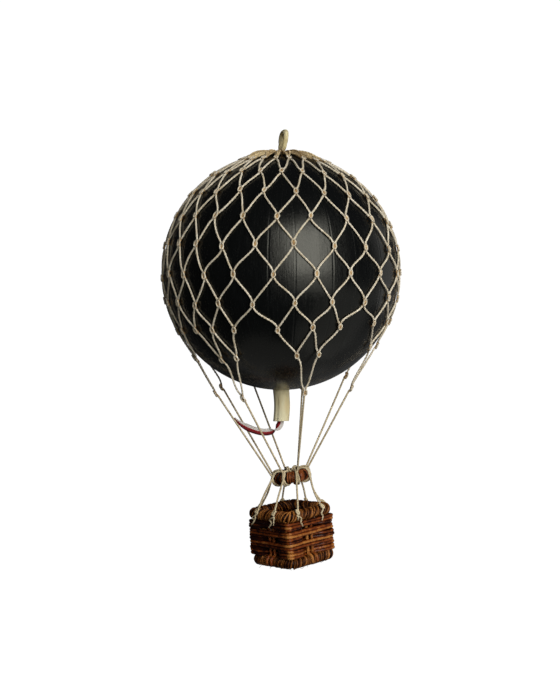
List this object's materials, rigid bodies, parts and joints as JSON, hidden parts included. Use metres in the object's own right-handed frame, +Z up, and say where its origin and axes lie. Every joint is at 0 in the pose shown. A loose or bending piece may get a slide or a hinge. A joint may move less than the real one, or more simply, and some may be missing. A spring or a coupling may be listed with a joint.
{
  "type": "hanging hot air balloon model",
  "caption": "Decorative model of a hot air balloon to hang up: round shell in a knotted cord net, rigging lines, load ring and open wicker basket.",
  "frame": {"origin": "hang point, where a hook bears on the inside top of the loop on the crown", "axes": "+Z up, as it hangs; X and Y along the basket's sides"},
  "size_m": [0.184, 0.1845, 0.3341],
  "materials": {
    "shell": "satin black lacquer over glued gores",
    "net_twine": "natural twisted twine",
    "loop_cord": "thick natural cord",
    "throat": "matt cream sleeve",
    "ribbon": "woven tape, red and white",
    "ring_cane": "dark wound cane",
    "basket_wrap": "dark stained split cane, wound",
    "basket_rattan": "brown stained rattan, half gloss"
  },
  "bodies": {
    "root": {"envelope": "shell", "throat": "throat", "hang_loop": "loop_cord", "net": "net_twine", "rigging_line_front_right": "net_twine", "rigging_line_right_front": "net_twine", "rigging_line_right_back": "net_twine", "rigging_line_back_right": "net_twine", "rigging_line_back_left": "net_twine", "rigging_line_left_back": "net_twine", "rigging_line_left_front": "net_twine", "rigging_line_front_left": "net_twine", "ribbon": "ribbon", "load_ring": "ring_cane", "basket_rim": "basket_wrap", "basket_base_border": "basket_wrap", "basket_floor": "basket_rattan", "basket_corner_post_1": "basket_rattan", "basket_corner_post_2": "basket_rattan", "basket_corner_post_3": "basket_rattan", "basket_corner_post_4": "basket_rattan", "basket_stake_1": "basket_rattan", "basket_stake_2": "basket_rattan", "basket_stake_3": "basket_rattan", "basket_stake_4": "basket_rattan", "basket_stake_5": "basket_rattan", "basket_stake_6": "basket_rattan", "basket_stake_7": "basket_rattan", "basket_stake_8": "basket_rattan", "basket_weaver_01": "basket_rattan", "basket_weaver_02": "basket_rattan", "basket_weaver_03": "basket_rattan", "basket_weaver_04": "basket_rattan", "basket_weaver_05": "basket_rattan", "basket_weaver_06": "basket_rattan", "basket_weaver_07": "basket_rattan", "basket_weaver_08": "basket_rattan", "basket_weaver_09": "basket_rattan", "basket_weaver_10": "basket_rattan", "basket_weaver_11": "basket_rattan", "basket_weaver_12": "basket_rattan"}
  },
  "joints": []
}
